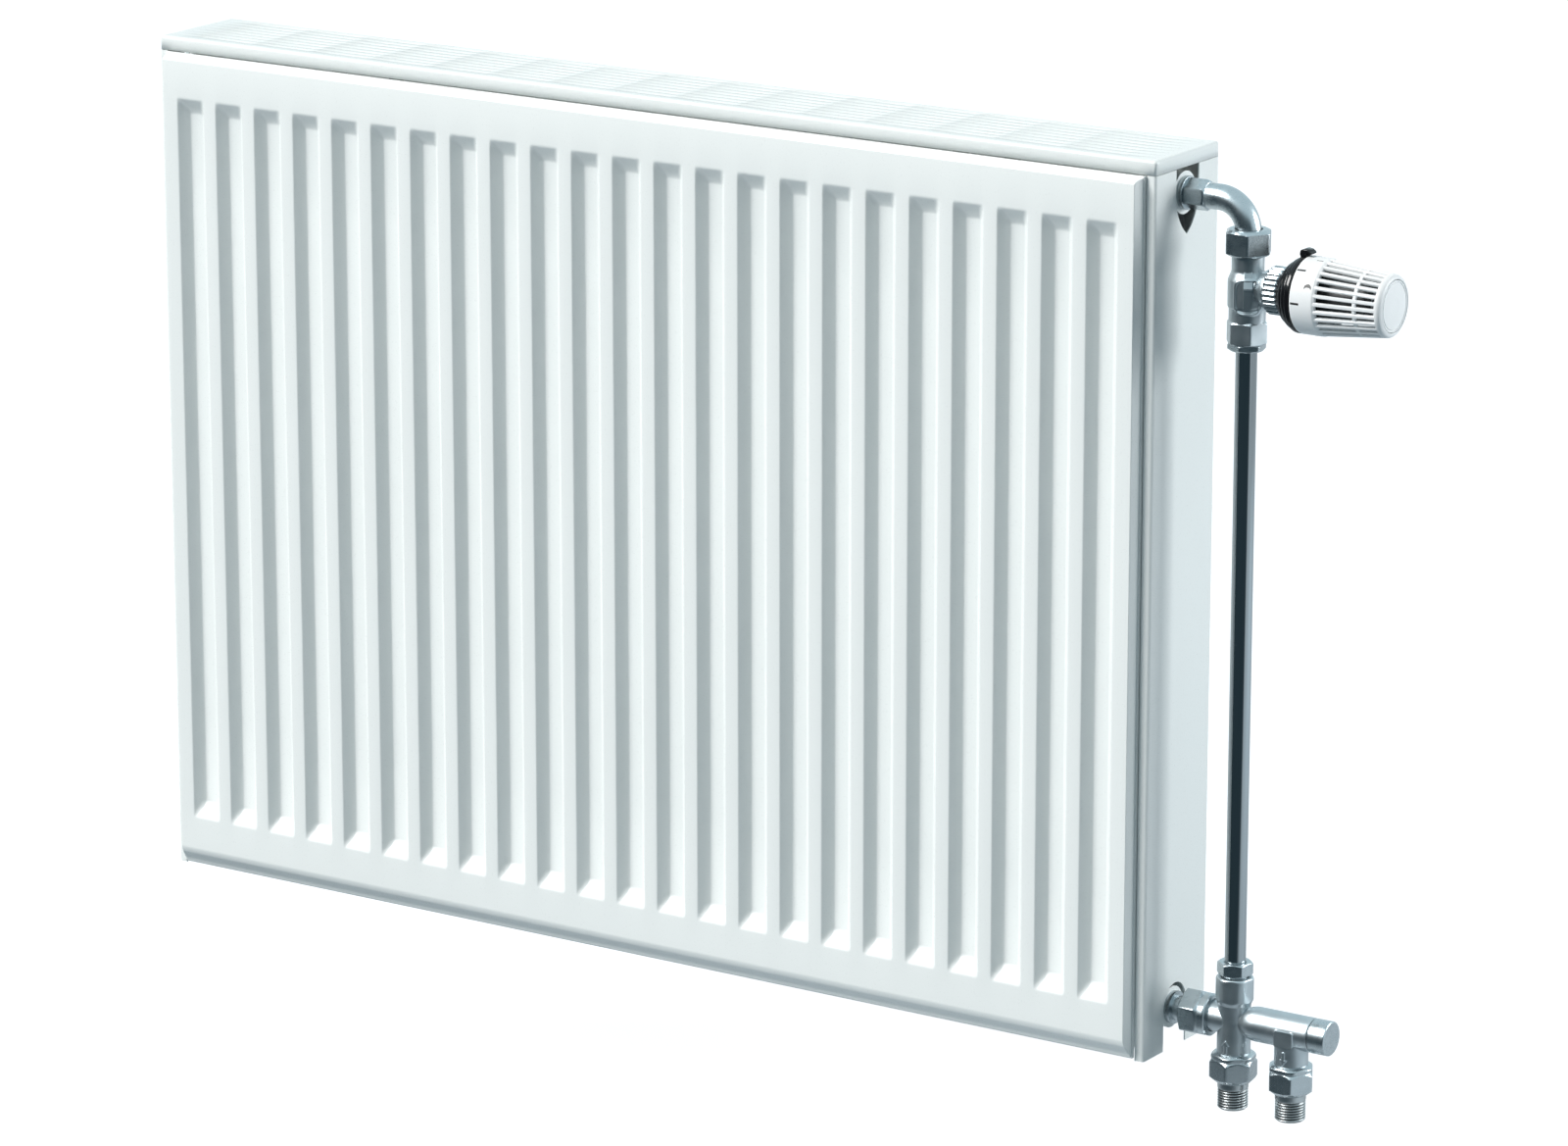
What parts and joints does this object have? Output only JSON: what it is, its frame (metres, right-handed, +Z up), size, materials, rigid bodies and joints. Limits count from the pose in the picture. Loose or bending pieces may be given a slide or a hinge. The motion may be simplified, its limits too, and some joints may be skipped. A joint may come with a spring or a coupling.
{
  "type": "panel radiator with thermostatic valve",
  "caption": "Wall-hung double panel radiator with grooved front, top grille and side covers, a thermostatic valve, riser pipe and lower connection block on its right side.",
  "frame": {"origin": "in the wall plane of the four hanger lugs, in the middle of their pattern", "axes": "+X along the radiator towards the valve, +Y back to the wall, +Z up"},
  "size_m": [0.9563, 0.108, 0.6335],
  "materials": {
    "enamel": "satin gloss",
    "primed_sheet": "satin",
    "spring_steel": "bright",
    "nickel": "satin nickel plate",
    "chrome_pipe": "polished chrome",
    "brass": "machined",
    "rubber": "matt",
    "white_plastic": "gloss",
    "grey_plastic": "matt",
    "black_plastic": "satin"
  },
  "bodies": {
    "radiator": {"front_panel_outer": "enamel", "front_panel_inner": "enamel", "rear_panel_inner": "enamel", "rear_panel_outer": "enamel", "top_grille": "enamel", "left_side_cover": "enamel", "right_side_cover": "enamel", "corner_tees": "enamel", "hanger_lugs": "enamel", "front_convector": "primed_sheet", "rear_convector": "primed_sheet", "grille_clips": "spring_steel", "return_spring": "spring_steel", "elbow_tail": "nickel", "upper_union_nut": "nickel", "valve_body": "nickel", "head_nut": "nickel", "riser_gland": "nickel", "riser_nut": "nickel", "connection_block": "nickel", "lower_tail": "nickel", "lower_union_nut": "nickel", "flow_union_nut": "nickel", "return_union_nut": "nickel", "flow_tail": "nickel", "return_tail": "nickel", "blanking_plug": "nickel", "vent_plug": "nickel", "riser_pipe": "chrome_pipe", "valve_insert": "brass", "spindle_gland": "brass", "riser_upper_olive": "brass", "riser_lower_olive": "brass", "shutoff_gland": "brass", "blanking_plug_seal": "rubber", "vent_plug_seal": "rubber", "upper_gasket": "rubber", "insert_seal": "rubber", "lower_gasket": "rubber", "tail_gaskets": "rubber", "head_base": "black_plastic", "pointer_ring": "black_plastic"},
    "dial": {"dial": "white_plastic", "end_disc": "white_plastic"},
    "sensor": {"sensor_capsule": "grey_plastic", "push_pin": "grey_plastic", "overtravel_spring": "spring_steel"},
    "valve_stem": {"valve_spindle": "brass", "valve_disc": "rubber"},
    "shutoff_plug": {"shutoff_plug": "rubber"},
    "shutoff_spindle": {"shutoff_spindle": "brass"},
    "cap_seal": {"cap_seal": "rubber"},
    "end_cap": {"end_cap": "nickel"},
    "bleed_screw": {"bleed_screw": "brass"},
    "vent_spout": {"vent_spout": "white_plastic"}
  },
  "joints": [
    {"name": "dial_turn", "type": "hinge", "parent": "radiator", "child": "dial", "pos_m": [0.52, -0.058, 0.2175], "axis": [1, 0, 0], "range_deg": [-140, 140]},
    {"name": "sensor_feed", "type": "slide", "parent": "radiator", "child": "sensor", "axis": [1, 0, 0], "range_m": [-0.0016, 0.0016]},
    {"name": "valve_stem_lift", "type": "slide", "parent": "radiator", "child": "valve_stem", "axis": [1, 0, 0], "range_m": [-0.0016, 0.0016], "deforming": ["return_spring"]},
    {"name": "shutoff_lift", "type": "slide", "parent": "radiator", "child": "shutoff_plug", "axis": [1, 0, 0], "range_m": [-0.003, 0]},
    {"name": "shutoff_turn", "type": "hinge", "parent": "shutoff_plug", "child": "shutoff_spindle", "pos_m": [0.497, -0.058, -0.273], "axis": [1, 0, 0], "range_deg": [-1086, 0]},
    {"name": "cap_travel", "type": "slide", "parent": "radiator", "child": "cap_seal", "axis": [1, 0, 0], "range_m": [0, 0.0061]},
    {"name": "cap_turn", "type": "hinge", "parent": "cap_seal", "child": "end_cap", "pos_m": [0.511, -0.058, -0.273], "axis": [1, 0, 0], "range_deg": [0, 1440]},
    {"name": "bleed_screw_turn", "type": "hinge", "parent": "radiator", "child": "bleed_screw", "pos_m": [-0.398, -0.058, 0.273], "axis": [-1, 0, 0], "range_deg": [0, 360]},
    {"name": "vent_spout_swivel", "type": "hinge", "parent": "radiator", "child": "vent_spout", "pos_m": [-0.398, -0.058, 0.273], "axis": [-1, 0, 0], "continuous": true}
  ],
  "couplings": [
    {"joint": "sensor_feed", "follows": "dial_turn", "m_per_rad": 0.00063662},
    {"joint": "valve_stem_lift", "follows": "dial_turn", "m_per_rad": 0.00063662},
    {"joint": "shutoff_turn", "follows": "shutoff_lift", "rad_per_m": 6283.2},
    {"joint": "cap_travel", "follows": "cap_turn", "m_per_rad": 0.00023873}
  ]
}
